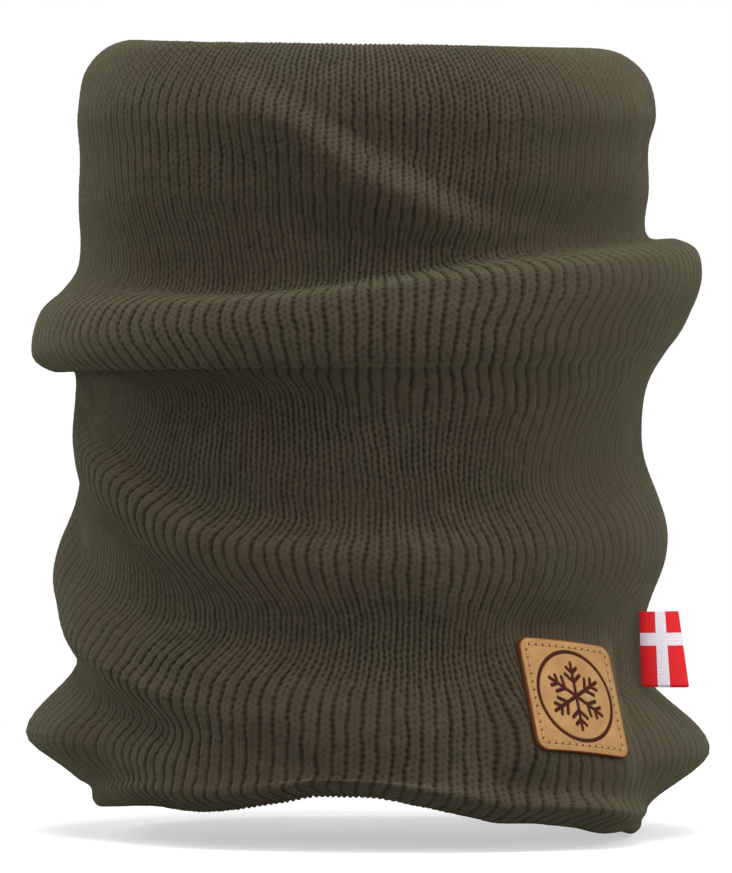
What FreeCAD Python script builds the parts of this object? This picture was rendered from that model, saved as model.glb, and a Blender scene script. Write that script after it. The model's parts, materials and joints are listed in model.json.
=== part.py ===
"""Slouched neck gaiter: rib-knit outer tube, fleece lining, leather patch and woven labels.

Millimetres, +Z up. The origin is the centre of the neck opening on the plane that the hem
stands on. The front faces -Y, and the woven flag label is on the +X side.
"""
import FreeCAD, Part
import Sketcher
import math
import os

PARTS_FOLDER = "parts"
VERTICAL = FreeCAD.Vector(0, 0, 1)

doc = FreeCAD.newDocument("neck_gaiter")
sheet = doc.addObject("Spreadsheet::Sheet", "dimensions")

DIMENSIONS = {
    # lining and its opening
    "bore_radius": 77.0,
    "lining_thickness": 2.4,
    "lining_bottom": 9.5,
    "lining_top": 205.0,
    # outer knit
    "knit_thickness": 3.0,
    # leather patch, on the front right of the flare
    "patch_side": 36.0,
    "patch_corner": 3.5,
    "patch_thickness": 2.0,
    "patch_azimuth": -44.0,
    "patch_lean": 18.0,
    "patch_turn": -6.0,
    "patch_centre_radius": 91.0,
    "patch_centre_height": 40.0,
    # stitches round the patch
    "stitch_inset": 2.4,
    "stitch_length": 1.6,
    "stitch_width": 0.55,
    "stitch_height": 0.5,
    "stitches_per_side": 12,
    # seam threads
    "seam_thread_radius": 0.55,
    "seam_azimuth": -17.0,
    "lining_seam_azimuth": 10.0,
    "side_seam_radius": 80.3,
    "side_seam_bottom": 12.0,
    "side_seam_length": 186.0,
    "edge_seam_radius": 78.1,
    "top_seam_height": 206.4,
    "bottom_seam_height": 8.2,
    # woven flag label, a ribbon folded in two
    "flag_reach": 12.6,
    "flag_height": 22.0,
    "flag_bottom": 45.0,
    "flag_folded_thickness": 1.5,
    "flag_ribbon_thickness": 0.45,
    "flag_hinge_radius": 90.6,
    "flag_lean": 5.0,
    # care label inside the lining
    "care_inner_radius": 77.2,
    "care_thickness": 0.4,
    "care_bottom": 20.0,
    "care_height": 38.0,
    "care_start": 12.5,
    "care_span": 22.0,
    "recess_depth": 1.3,
    "recess_margin": 1.5,
}

# The outer wall's cross-sections, each a circle that may lean: its name, its reach and height
# on the -X side, its reach and height on the +X side, and how many layers of knit it has.
SECTIONS = [
    ("hem_edge", 81.0, 0.0, 81.0, 0.0, 1),
    ("hem_band", 81.5, 5.0, 82.0, 5.0, 1),
    ("hem_curl", 84.0, 13.0, 85.0, 11.5, 1),
    ("flare_under", 92.5, 21.0, 96.5, 18.0, 1),
    ("flare_crest", 100.4, 30.0, 103.7, 26.5, 1),
    ("flare_over", 95.0, 40.5, 95.5, 38.5, 1),
    ("low_waist", 86.5, 53.5, 85.0, 54.0, 1),
    ("bulge_under", 89.0, 63.5, 86.5, 69.0, 1),
    ("bulge_crest", 92.5, 77.0, 92.0, 89.0, 1),
    ("bulge_over", 88.0, 93.0, 87.6, 106.0, 1),
    ("high_waist", 85.7, 111.0, 84.3, 122.0, 1),
    ("roll_root", 86.5, 127.0, 87.0, 137.0, 1),
    ("roll_under", 94.5, 137.5, 94.5, 148.5, 1),
    ("roll_crest", 99.0, 147.5, 102.0, 163.5, 1),
    ("roll_over", 95.0, 158.0, 98.0, 175.5, 1),
    ("crease", 85.8, 169.5, 87.5, 184.0, 1),
    ("upper_tube", 84.0, 188.0, 86.0, 196.0, 1),
    ("under_shoulder", 84.5, 205.0, 86.2, 207.0, 1),
    ("shoulder", 84.9, 216.0, 88.0, 216.5, 2),
    ("over_shoulder", 82.3, 228.5, 84.5, 228.5, 2),
    ("lip", 77.5, 235.0, 78.5, 235.0, 2),
    ("top_edge", 71.0, 238.0, 71.0, 238.0, 2),
]


def put_in_sheet(alias, value):
    """Write one plain number in the sheet's next free row, under its alias."""
    row = sum(1 for cell in sheet.getUsedCells() if cell.startswith("A")) + 1
    sheet.set(f"A{row}", alias)
    sheet.set(f"B{row}", str(round(value, 4)))
    sheet.setAlias(f"B{row}", alias)


def size(alias):
    """Read a number back from the sheet."""
    return float(sheet.get(alias))


def bind(thing, **sizes):
    """Bind each property of a document object to an expression on the sheet."""
    for name, expression in sizes.items():
        thing.setExpression(name, expression)
    return thing


def add(kind, name, **sizes):
    """Add a document object and bind its sizes."""
    return bind(doc.addObject(kind, name), **sizes)


def placed(x=0.0, y=0.0, z=0.0, rotation=None):
    """A placement from three coordinates and an optional rotation."""
    return FreeCAD.Placement(FreeCAD.Vector(x, y, z), rotation or FreeCAD.Rotation())


def boolean(kind, name, first, second):
    """Cut, fuse or intersect two document objects."""
    result = doc.addObject(f"Part::{kind}", name)
    if kind in ("Cut", "Common"):
        result.Base = first
        result.Tool = second
    else:
        result.Shapes = [first, second]
    return result


def polar(radius, degrees, height=0.0):
    """A point at a radius and azimuth, counted from +X towards +Y."""
    angle = math.radians(degrees)
    return FreeCAD.Vector(radius * math.cos(angle), radius * math.sin(angle), height)


# ---------------------------------------------------------------- outer wall surfaces

def moved_along_normal(outline, offsets):
    """Move each point of a side outline outwards, at right angles to the outline.

    The two ends keep to their planes and run 1 mm past them, so that a cut goes through.
    """
    moved = []
    last = len(outline) - 1
    for index, (reach, height) in enumerate(outline):
        if index in (0, last):
            overshoot = -1.0 if index == 0 else 1.0
            moved.append((reach + offsets[index], height + overshoot))
            continue
        before = outline[index - 1]
        after = outline[index + 1]
        along = FreeCAD.Vector(after[0] - before[0], 0, after[1] - before[1]).normalize()
        moved.append((reach + along.z * offsets[index], height - along.x * offsets[index]))
    return moved


def outlines(layers_offset=0.0, growth=0.0):
    """The -X and +X side outlines, moved outwards by growth, or in by each section's layers."""
    offsets = [growth + layers_offset * section[5] for section in SECTIONS]
    left = [(section[1], section[2]) for section in SECTIONS]
    right = [(section[3], section[4]) for section in SECTIONS]
    if any(offsets):
        left = moved_along_normal(left, offsets)
        right = moved_along_normal(right, offsets)
    return left, right


def wall_loft(name, left, right):
    """A closed loft through leaning circles, each held by its two side points in the sheet."""
    circles = []
    for section, (left_reach, left_height), (right_reach, right_height) in zip(
            SECTIONS, left, right):
        key = f"{name}_{section[0]}"
        put_in_sheet(f"{key}_left_reach", left_reach)
        put_in_sheet(f"{key}_left_height", left_height)
        put_in_sheet(f"{key}_right_reach", right_reach)
        put_in_sheet(f"{key}_right_height", right_height)
        cell = f"dimensions.{key}"
        width = f"({cell}_left_reach + {cell}_right_reach)"
        rise = f"({cell}_right_height - {cell}_left_height)"
        centre = (f"create(<<vector>>; ({cell}_right_reach - {cell}_left_reach) / 2 * 1 mm; 0 mm; "
                  f"({cell}_right_height + {cell}_left_height) / 2 * 1 mm)")
        lean = f"create(<<rotation>>; create(<<vector>>; 0; 1; 0); -atan({rise} / {width}))"
        circle = add("Part::Circle", f"{key}_circle",
                     Radius=f"sqrt({width}^2 + {rise}^2) / 2 * 1 mm",
                     Placement=f"create(<<placement>>; {centre}; {lean})")
        circles.append(circle)
    loft = doc.addObject("Part::Loft", name)
    loft.Sections = circles
    loft.Solid = True
    loft.Ruled = False
    return loft


# ---------------------------------------------------------------- sub-parts

def make_outer_knit(outer_wall, inner_wall):
    return boolean("Cut", "outer_knit", outer_wall, inner_wall)


def make_lining():
    """The fleece tube, with the shallow dent that the care label lies in."""
    height = "(dimensions.lining_top - dimensions.lining_bottom) * 1 mm"
    tube = add("Part::Cylinder", "lining_outside", Height=height,
               Radius="(dimensions.bore_radius + dimensions.lining_thickness) * 1 mm")
    bore = add("Part::Cylinder", "lining_bore", Height=height,
               Radius="dimensions.bore_radius * 1 mm")
    for cylinder in (tube, bore):
        bind(cylinder, **{"Placement.Base.z": "dimensions.lining_bottom * 1 mm"})
    wall = boolean("Cut", "lining_wall", tube, bore)
    margin = size("recess_margin")
    dent = add("Part::Cylinder", "lining_dent",
               Radius="(dimensions.bore_radius + dimensions.recess_depth) * 1 mm",
               Height="(dimensions.care_height + 2 * dimensions.recess_margin) * 1 mm",
               Angle="dimensions.care_span + 2 * dimensions.recess_margin")
    turn = FreeCAD.Rotation(VERTICAL, size("care_start") - margin)
    dent.Placement = placed(z=size("care_bottom") - margin, rotation=turn)
    return boolean("Cut", "fleece_lining", wall, dent)


def make_care_label():
    """A thin curved label that lies against the lining, sewn along its first edge."""
    faces = []
    for name, radius in (("care_back", "dimensions.care_inner_radius + dimensions.care_thickness"),
                         ("care_front", "dimensions.care_inner_radius")):
        face = add("Part::Cylinder", name, Radius=f"({radius}) * 1 mm",
                   Height="dimensions.care_height * 1 mm", Angle="dimensions.care_span")
        turn = FreeCAD.Rotation(VERTICAL, size("care_start"))
        face.Placement = placed(z=size("care_bottom"), rotation=turn)
        faces.append(face)
    return boolean("Cut", "care_label", *faces)


def make_ring_seam(name, height_alias):
    """A thread that runs round an edge."""
    return add("Part::Torus", name, Radius1="dimensions.edge_seam_radius * 1 mm",
               Radius2="dimensions.seam_thread_radius * 1 mm",
               **{"Placement.Base.z": f"dimensions.{height_alias} * 1 mm"})


def make_side_seam(name, azimuth_alias):
    """A thread that runs up a side between the knit and the lining."""
    seam = add("Part::Cylinder", name, Radius="dimensions.seam_thread_radius * 1 mm",
               Height="dimensions.side_seam_length * 1 mm")
    foot = polar(size("side_seam_radius"), size(azimuth_alias), size("side_seam_bottom"))
    seam.Placement = FreeCAD.Placement(foot, FreeCAD.Rotation())
    return seam


def patch_placement():
    """The patch's own frame: X along its width, Y up, Z out of the knit, at its centre."""
    centre = polar(size("patch_centre_radius"), size("patch_azimuth"),
                   size("patch_centre_height"))
    outwards = FreeCAD.Rotation(VERTICAL, size("patch_azimuth") + 90)
    upright = FreeCAD.Rotation(FreeCAD.Vector(1, 0, 0), 90 - size("patch_lean"))
    turned = FreeCAD.Rotation(VERTICAL, size("patch_turn"))
    return FreeCAD.Placement(centre, outwards * upright * turned)


def make_patch_blank(depth):
    """A square prism with rounded corners that crosses the wall where the patch lies."""
    body = doc.addObject("PartDesign::Body", "patch_blank")
    sketch = body.newObject("Sketcher::SketchObject", "patch_outline")
    plane = [item for item in body.Origin.OriginFeatures if item.Role == "XY_Plane"][0]
    sketch.AttachmentSupport = (plane, [""])
    sketch.MapMode = "FlatFace"
    half = size("patch_side") / 2
    corners = [FreeCAD.Vector(x * half, y * half, 0)
               for x, y in ((-1, -1), (1, -1), (1, 1), (-1, 1))]
    for start, end in zip(corners, corners[1:] + corners[:1]):
        sketch.addGeometry(Part.LineSegment(start, end), False)
    for line in range(4):
        sketch.addConstraint(Sketcher.Constraint("Coincident", line, 2, (line + 1) % 4, 1))
        direction = "Horizontal" if line % 2 == 0 else "Vertical"
        sketch.addConstraint(Sketcher.Constraint(direction, line))
    sketch.addConstraint(Sketcher.Constraint("Symmetric", 0, 1, 1, 2, -1, 1))
    width = sketch.addConstraint(Sketcher.Constraint("DistanceX", 0, 1, 0, 2, 2 * half))
    height = sketch.addConstraint(Sketcher.Constraint("DistanceY", 1, 1, 1, 2, 2 * half))
    for index in (width, height):
        sketch.setExpression(f"Constraints[{index}]", "dimensions.patch_side * 1 mm")
    pad = body.newObject("PartDesign::Pad", "patch_depth")
    pad.Profile = sketch
    pad.Length = depth
    pad.Midplane = True
    doc.recompute()
    upright_edges = [f"Edge{number}" for number, edge in enumerate(pad.Shape.Edges, 1)
                     if abs(edge.tangentAt(edge.FirstParameter).z) > 0.99]
    rounding = body.newObject("PartDesign::Fillet", "patch_corners")
    rounding.Base = (pad, upright_edges)
    bind(rounding, Radius="dimensions.patch_corner * 1 mm")
    body.Tip = rounding
    body.Placement = patch_placement()
    return body


def make_patch(blank, leather_wall, outer_wall):
    """The part of the blank between the knit's surface and the leather's face."""
    slab = boolean("Common", "patch_slab", blank, leather_wall)
    return boolean("Cut", "leather_patch", slab, outer_wall)


def make_patch_stitches(depth, thread_wall, leather_wall):
    """Rows of short stitches along the four sides of the patch, proud of the leather."""
    blanks = []
    half = size("patch_side") / 2 - size("stitch_inset")
    count = int(size("stitches_per_side"))
    pitch = 2 * (half - size("patch_corner") / 2) / count
    frame = patch_placement()
    for side in range(4):
        quarter = FreeCAD.Placement(FreeCAD.Vector(), FreeCAD.Rotation(VERTICAL, 90 * side))
        for number in range(count):
            along = (number + 0.5 - count / 2) * pitch
            blank = add("Part::Box", f"stitch_{side}_{number}",
                        Length="dimensions.stitch_length * 1 mm",
                        Width="dimensions.stitch_width * 1 mm")
            blank.Height = depth
            corner = placed(along - size("stitch_length") / 2,
                            -half - size("stitch_width") / 2, -depth / 2)
            blank.Placement = frame * quarter * corner
            blanks.append(blank)
    group = doc.addObject("Part::Compound", "stitch_blanks")
    group.Links = blanks
    slab = boolean("Common", "stitch_slab", group, thread_wall)
    return boolean("Cut", "patch_stitches", slab, leather_wall)


def make_flag_label():
    """A ribbon folded in two: both leaves start at the seam and the fold is at the far end."""
    shells = []
    for name, thickness in (("flag_outside", "dimensions.flag_folded_thickness"),
                            ("flag_inside", "(dimensions.flag_folded_thickness - 2 * "
                                            "dimensions.flag_ribbon_thickness)")):
        straight = "(dimensions.flag_reach - dimensions.flag_folded_thickness / 2) * 1 mm"
        leaf = add("Part::Box", f"{name}_leaves", Length=straight, Width=f"{thickness} * 1 mm",
                   Height="dimensions.flag_height * 1 mm",
                   **{"Placement.Base.y": f"-{thickness} / 2 * 1 mm"})
        fold = add("Part::Cylinder", f"{name}_fold", Radius=f"{thickness} / 2 * 1 mm",
                   Height="dimensions.flag_height * 1 mm",
                   **{"Placement.Base.x": straight})
        shells.append(boolean("MultiFuse", name, leaf, fold))
    label = boolean("Cut", "flag_label", *shells)
    foot = polar(size("flag_hinge_radius"), size("seam_azimuth"), size("flag_bottom"))
    outwards = FreeCAD.Rotation(VERTICAL, size("seam_azimuth"))
    leaning_in = FreeCAD.Rotation(FreeCAD.Vector(0, 1, 0), -size("flag_lean"))
    to_the_side = FreeCAD.Rotation(VERTICAL, -size("seam_azimuth"))
    label.Placement = FreeCAD.Placement(foot, outwards * leaning_in * to_the_side)
    return label


def build():
    """Build every sub-part and return them."""
    for alias, value in DIMENSIONS.items():
        put_in_sheet(alias, value)
    doc.recompute()
    knit = size("knit_thickness")
    leather = size("patch_thickness")
    thread = leather + size("stitch_height")
    blank_depth = 30.0
    outer_wall = wall_loft("outer_wall", *outlines())
    inner_wall = wall_loft("inner_wall", *outlines(layers_offset=-knit))
    leather_wall = wall_loft("leather_wall", *outlines(growth=leather))
    thread_wall = wall_loft("thread_wall", *outlines(growth=thread))
    doc.recompute()
    return [
        make_outer_knit(outer_wall, inner_wall),
        make_lining(),
        make_ring_seam("top_edge_seam", "top_seam_height"),
        make_ring_seam("bottom_edge_seam", "bottom_seam_height"),
        make_side_seam("outer_side_seam", "seam_azimuth"),
        make_side_seam("lining_side_seam", "lining_seam_azimuth"),
        make_patch(make_patch_blank(blank_depth), leather_wall, outer_wall),
        make_patch_stitches(blank_depth, thread_wall, leather_wall),
        make_flag_label(),
        make_care_label(),
    ]


def check(sub_parts):
    """Stop if any object failed to build or any sub-part has a bad shape."""
    for thing in doc.Objects:
        if "Invalid" in thing.State or "Error" in thing.State:
            raise RuntimeError(f"{thing.Name} did not build: {thing.State}")
    for part in sub_parts:
        if part.Shape.isNull() or not part.Shape.isValid() or not part.Shape.Solids:
            raise RuntimeError(f"{part.Name} has no valid solid")


parts = build()
doc.recompute()
check(parts)
os.makedirs(PARTS_FOLDER, exist_ok=True)
for part in parts:
    part.Label = part.Name
    part.Shape.exportStep(os.path.join(PARTS_FOLDER, f"{part.Label}.step"))
    box = part.Shape.BoundBox
    print(f"{part.Label}: {len(part.Shape.Solids)} solids, {part.Shape.Volume / 1000:.2f} cm3, "
          f"x {box.XMin:.1f}..{box.XMax:.1f} y {box.YMin:.1f}..{box.YMax:.1f} "
          f"z {box.ZMin:.1f}..{box.ZMax:.1f}")
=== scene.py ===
"""The looks of the slouched knit neck gaiter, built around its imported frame.

Metres, +Z up, -Y is the front. Azimuths here are in degrees from the front, growing
towards +X, so the woven tab's side is at 90. Outline tables are in millimetres.
"""
import json
import math

import bpy
import numpy as np
from mathutils import Matrix, Vector


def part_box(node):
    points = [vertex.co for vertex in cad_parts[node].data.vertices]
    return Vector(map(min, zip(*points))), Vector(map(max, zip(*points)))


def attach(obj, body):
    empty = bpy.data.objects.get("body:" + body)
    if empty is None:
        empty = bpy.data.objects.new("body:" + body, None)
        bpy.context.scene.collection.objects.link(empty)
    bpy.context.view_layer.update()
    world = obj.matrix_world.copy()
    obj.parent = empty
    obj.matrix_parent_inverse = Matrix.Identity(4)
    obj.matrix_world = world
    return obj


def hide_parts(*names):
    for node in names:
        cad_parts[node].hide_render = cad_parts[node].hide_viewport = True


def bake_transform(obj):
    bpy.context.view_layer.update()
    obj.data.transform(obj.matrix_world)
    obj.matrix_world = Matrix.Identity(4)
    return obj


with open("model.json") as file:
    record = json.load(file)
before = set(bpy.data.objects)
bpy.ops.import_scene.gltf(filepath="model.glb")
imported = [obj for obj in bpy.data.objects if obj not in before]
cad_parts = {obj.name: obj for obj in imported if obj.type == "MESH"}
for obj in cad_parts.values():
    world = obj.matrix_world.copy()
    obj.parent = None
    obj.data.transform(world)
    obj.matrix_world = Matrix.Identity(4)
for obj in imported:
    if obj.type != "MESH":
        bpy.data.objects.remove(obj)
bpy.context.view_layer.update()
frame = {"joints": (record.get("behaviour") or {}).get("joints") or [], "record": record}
MM = 0.001
rng = np.random.default_rng(7)


# ------ sizes from the frame

def node_box(name):
    """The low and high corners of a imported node, in millimetres."""
    return np.array(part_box(name)) / MM


JOINTS = {joint["name"]: joint for joint in frame["joints"]}
MOUNTS = {mount["name"]: mount for mount in frame["record"]["mounts"]}
BORE = MOUNTS["neck_opening"]["dims"]["r_mm"]
LINING_LOW, LINING_HIGH = node_box("fleece_lining")
PATCH_LOW, PATCH_HIGH = node_box("leather_patch")
CARE_LOW, CARE_HIGH = node_box("care_label")
SEAM_LOW, SEAM_HIGH = node_box("top_edge_seam")
SEAM_RADIUS = SEAM_HIGH[0] - 0.55
SEAM_STITCHES = 230
SEAM_THREAD = 0.28

FLAG_HEIGHT = 22.0
FLAG_THICKNESS = 0.42
FLAG_GAP = 0.34  # from the tab's middle to each of its two leaves
FLAG_DROP = 0.55  # how much lower the back leaf hangs
CARE_REACH = 77.35  # the label's distance from the tube's middle
CARE_MIDDLE = 113.5  # its azimuth
CARE_SPAN = 22.0  # the degrees it takes up

# ------ the patch's place

PATCH_SIDE = 35.4
PATCH_CORNER = 3.7
PATCH_THICKNESS = 1.7
PATCH_BEND = 150.0  # radius of its bend round the tube
PATCH_REACH = 91.0
PATCH_AZIMUTH = 42.6
PATCH_RISE = 2.6  # above its CAD solid
PATCH_LEAN = 23.5
PATCH_TURN = -7.4
PATCH_CENTRE = np.array(Vector((PATCH_REACH * math.sin(math.radians(PATCH_AZIMUTH)),
                                -PATCH_REACH * math.cos(math.radians(PATCH_AZIMUTH)),
                                (PATCH_LOW[2] + PATCH_HIGH[2]) / 2 + PATCH_RISE)))
PATCH_FRAME = np.array(Matrix.Rotation(math.radians(PATCH_AZIMUTH), 3, "Z")
                       @ Matrix.Rotation(math.radians(90 - PATCH_LEAN), 3, "X")
                       @ Matrix.Rotation(math.radians(PATCH_TURN), 3, "Z"))


def to_patch(points):
    """Points in the patch's own frame: across, up, and out from its back face."""
    return (points - PATCH_CENTRE) @ PATCH_FRAME


def from_patch(points):
    return points @ PATCH_FRAME.T + PATCH_CENTRE


def beyond_patch(across, up):
    """Distance outside the patch's rounded square, negative inside."""
    half = PATCH_SIDE / 2 - PATCH_CORNER
    side = np.maximum(np.abs(across) - half, 0)
    rise = np.maximum(np.abs(up) - half, 0)
    inside = np.minimum(np.maximum(np.abs(across) - half, np.abs(up) - half), 0)
    return np.hypot(side, rise) + inside - PATCH_CORNER


def press_under_patch(points):
    """Lay the cloth flat behind the patch. Returns the points and how tight each one is."""
    local = to_patch(points)
    gap = beyond_patch(local[..., 0], local[..., 1])
    near = (np.abs(local[..., 2]) < 25) & (gap < 16)
    pressed = near * smooth_step(gap, 11, 0)
    back = -local[..., 0] ** 2 / (2 * PATCH_BEND)
    local[..., 2] += pressed * (back - local[..., 2])
    tight = near * np.clip(1 - gap / 1.5, 0, 1)
    return from_patch(local), tight


# ------ the knit's large shape

WALES = 144  # ribs round the tube
SAMPLES_PER_WALE = 8
COURSE = 2.05  # one row of stitches, in millimetres
ROWS = 860
MACRO_COLUMNS = 1440

# The hem round the tube: azimuth, height, reach.
HEM = [(-180, 8, 84.5), (-150, 4, 84.5), (-125, 4.5, 83.5), (-100, 8, 81.5), (-85, 9, 81.6),
       (-75, 8.6, 83.4), (-62, 9.6, 85.8), (-47, 11, 87.2), (-35, 10.2, 87.6), (-17, 13.3, 87.8),
       (-8, 15.5, 87.6), (1, 15.2, 87.6), (11, 12.8, 88.8), (21, 9.6, 90.6), (28, 7.4, 92.6),
       (34, 7, 94.4), (45, 5, 96.2), (55, 2.4, 95.4), (63, 2.2, 92.4), (75, 0.3, 86.4),
       (88, -0.2, 82.6), (120, 0.1, 83.5), (150, 3, 84.5)]

# The cloth's turn round the hem: share of the way out to the hem's reach, and rise above it.
HEM_INSIDE = 78.8
HEM_TURN = [(0, 7), (0.12, 2.2), (0.5, 0), (0.88, 1.8), (1, 5.6)]

STATION_AZIMUTHS = (-90, -30, 30, 90, 150, 210)
# The wall above the hem, from the bottom up: (reach, height) at each azimuth above.
STATIONS = {
    "low": [(84.2, 15.5), (86, 21), (86, 20), (86.2, 12.5), (84.8, 18), (84.4, 20)],
    "low_waist": [(85.2, 50), (83.4, 48), (84, 48), (84.5, 48), (84.5, 46), (84.6, 48)],
    "middle": [(85.2, 84), (83.2, 84), (83.6, 84), (84.4, 84), (84.4, 82), (84.6, 84)],
    "under_roll": [(84.9, 112), (84, 112), (85, 112), (84, 118), (84.3, 116), (85, 114)],
    "root": [(86, 131), (85.6, 132), (88.4, 131), (86, 134), (85.2, 133), (85.6, 131)],
    "tuck": [(86.6, 138.2), (89, 140), (92.5, 139.5), (91, 143.4), (88.6, 140.5), (86.6, 138)],
    "keel": [(91.5, 137.5), (96.2, 140), (96.8, 143), (94.4, 148.3), (92.4, 144.8), (91, 139.8)],
    "nose": [(98.2, 141.2), (98.5, 144.6), (99, 150.4), (98.2, 155), (96.6, 151.4), (96, 144.6)],
    "crest": [(99.3, 146.2), (98.5, 152), (99.4, 160.5), (102.1, 166), (100.2, 160.5), (98.6, 152.2)],
    "brow": [(96.4, 156.2), (94.6, 158.6), (97, 167.6), (100.6, 174.6), (98.2, 169.6), (95.8, 161.6)],
    "lid": [(89.6, 163), (87.8, 160.6), (90.4, 170.6), (94.4, 177.9), (91.6, 174), (89, 166.8)],
    "crease": [(85.1, 170), (81.8, 162.6), (82.2, 173.2), (86, 178.6), (85.4, 177.4), (84.8, 171.6)],
    "upper": [(84.8, 189), (85, 190), (85.4, 193), (86.1, 192), (85.4, 192), (84.6, 190)],
    "under_shoulder": [(84.5, 203), (84.2, 204), (84.9, 204), (86.1, 205), (85.8, 204), (85, 203)],
    "shoulder": [(84.9, 215), (84.6, 214), (85.2, 214), (88, 215), (87, 215), (85.8, 215)],
    "over_shoulder": [(83, 227.6), (82.6, 225.4), (83.4, 224.6), (85.3, 226.3), (85, 226.6),
                      (83.8, 227.2)],
    "lip": [(77, 234.8), (76.6, 232.6), (77.4, 231.4), (78.3, 232.8), (78.8, 230.8), (77.6, 231.8)],
    "top": [(68.8, 237.4), (69, 234.9), (69.6, 234), (70, 234.6), (69.8, 233), (69, 234.2)],
    "edge": [(64.2, 235.2), (64.4, 232.8), (64.8, 231.9), (65.2, 232.4), (64.8, 231), (64.4, 231.9)],
    "turned": [(66.4, 231), (66.8, 229.2), (67.2, 228.4), (67.4, 228.8), (67, 228.8), (66.6, 229.4)],
    "facing_bend": [(74, 225), (74.2, 224.2), (74.6, 223.4), (74.8, 223), (74.4, 223.6), (74.2, 224.6)],
    "facing": [(77.8, 216), (77.9, 216), (78, 215), (78.2, 215), (78, 215), (77.9, 216)],
    "facing_end": [(78.4, 207.6)] * 6,
}
LOWER_STATIONS = 5  # ridges below the roll act up to this station
UPPER_STATIONS = (11, 16)  # ridges above the roll act between these stations

# Soft folds that stand out from the wall. Each is a line round the tube of
# (azimuth, height of its crest, how far it stands out, its extent below, its extent above).
LOWER_FOLDS = [  # the flare above the hem
    [(-180, 25, 6, 17, 24), (-150, 27, 8, 17, 24), (-120, 30, 12, 16, 24),
     (-92, 29.6, 15.4, 16, 24), (-74, 29.5, 11.5, 16.5, 19), (-58, 29, 4, 16, 15),
     (-42, 25, 3, 16, 16), (-15, 22, 2.6, 17, 18), (8, 22, 3.4, 18, 20), (26, 22, 6.2, 24, 24),
     (44, 22, 10.6, 26, 27), (66, 24.4, 14.2, 22, 25.5), (92, 25.2, 18.6, 18.5, 25),
     (118, 26, 15, 18, 24), (150, 25, 9, 18, 23)],
    # the long fold that falls from under the roll at the left and runs right round
    [(-112, 134, 0, 26, 9), (-90, 128, 0.4, 26, 9), (-75, 117, 4.2, 26, 9),
     (-62, 110.5, 5.6, 27, 10), (-53, 104.5, 5.8, 27, 10), (-45, 98.5, 5.8, 27, 11),
     (-36, 92, 5.6, 27, 12), (-22, 87, 5.6, 27, 13), (0, 84, 5.6, 27, 14),
     (20, 85, 5.2, 28, 17), (45, 87, 4.2, 27, 24), (90, 88, 7.6, 31, 31), (125, 84, 6.6, 28, 30),
     (160, 82, 5.2, 27, 27), (195, 88, 5, 27, 27), (225, 97, 3.6, 26, 22), (248, 112, 1.2, 24, 14)],
    # the fold that starts at the left side and sinks to the middle of the front
    [(-165, 70, 2.5, 26, 26), (-130, 76, 6, 24, 28), (-94, 76, 7.7, 19.5, 32),
     (-76, 66.5, 6.2, 17, 20), (-62, 60, 5, 16, 16), (-47, 54, 4.6, 17, 17), (-34, 49, 4.6, 17, 18),
     (-20, 43, 5.2, 17, 20), (-4, 38.5, 5, 20, 21), (10, 37.5, 4.6, 20, 21),
     (24, 41, 3.4, 16, 19), (40, 46, 1.2, 16, 16), (54, 50, 0, 16, 16)],
    # the narrow diagonal fold below it at the left
    [(-96, 65, 0, 17, 13), (-80, 60, 2, 17, 12), (-66, 54.5, 4.2, 15, 10), (-54, 49.5, 5, 14, 9),
     (-45, 45.5, 5, 13, 8), (-36, 41, 3.8, 17, 9), (-24, 35.5, 2.6, 18, 10), (-10, 34, 1, 18, 12),
     (4, 33, 0, 18, 12)],
    # the hollow under the roll at the left
    [(-84, 133, 0, 18, 7), (-66, 133, -3.8, 18, 7), (-45, 134, -4.2, 22, 7), (-24, 135, -2.4, 24, 7),
     (-4, 135, -1.2, 24, 7), (14, 135, 0, 24, 7)],
    # a shallow fold low on the back
    [(120, 56, 0, 18, 20), (150, 52, 3.4, 18, 20), (185, 50, 4.4, 18, 20), (215, 55, 3, 18, 20),
     (238, 60, 0, 18, 20)],
]
UPPER_FOLDS = [  # the bellied band below the top edge
    [(-180, 216, 2.5, 44, 20), (-130, 216, 3, 44, 20), (-95, 214, 0, 44, 20),
     (-70, 216, 2.2, 44, 20), (-45, 217, 4.5, 44, 20), (-20, 219, 5, 42, 18), (5, 221, 4.2, 36, 17),
     (30, 219, 4.2, 38, 18), (55, 216, 3.2, 40, 20), (84, 215, 0, 40, 22), (100, 215, 0, 40, 22),
     (140, 214, 2.5, 42, 22)],
    # the diagonal fold that falls from the top edge to the roll
    [(-34, 226, 0, 20, 10), (-22, 217.5, 4.3, 24, 11), (-12, 208.5, 7, 26, 12),
     (-6, 202, 7.9, 27, 12), (0, 195.4, 8.1, 24, 12), (9, 188.4, 7.4, 18, 12),
     (18, 181.6, 6, 13, 12), (26, 176.4, 4.2, 10, 12), (36, 174, 1.6, 9, 12), (46, 173, 0, 8, 11)],
    # a broad swelling at each side of the back
    [(110, 200, 0, 24, 28), (140, 194, 2.4, 24, 28), (165, 200, 1, 24, 28),
     (195, 206, 2.6, 24, 26), (225, 198, 1.6, 24, 28), (250, 192, 0, 24, 26)],
]


def unit(vectors):
    return vectors / (np.linalg.norm(vectors, axis=-1, keepdims=True) + 1e-12)


def ring(azimuth, reach, height):
    """Points at these azimuths, distances from the tube's middle and heights."""
    angle = np.radians(azimuth)
    return np.stack([reach * np.sin(angle), -reach * np.cos(angle), height], axis=-1)


def smooth_step(values, low, high):
    """An even ease from 0 at low to 1 at high."""
    t = np.clip((values - low) / (high - low), 0, 1)
    return t * t * (3 - 2 * t)


def hermite(t, width, start, start_slope, end, end_slope):
    """The cubic between two values with these slopes, at share t of its width."""
    t2, t3 = t * t, t * t * t
    return ((2 * t3 - 3 * t2 + 1) * start + (t3 - 2 * t2 + t) * width * start_slope
            + (3 * t2 - 2 * t3) * end + (t3 - t2) * width * end_slope)


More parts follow.
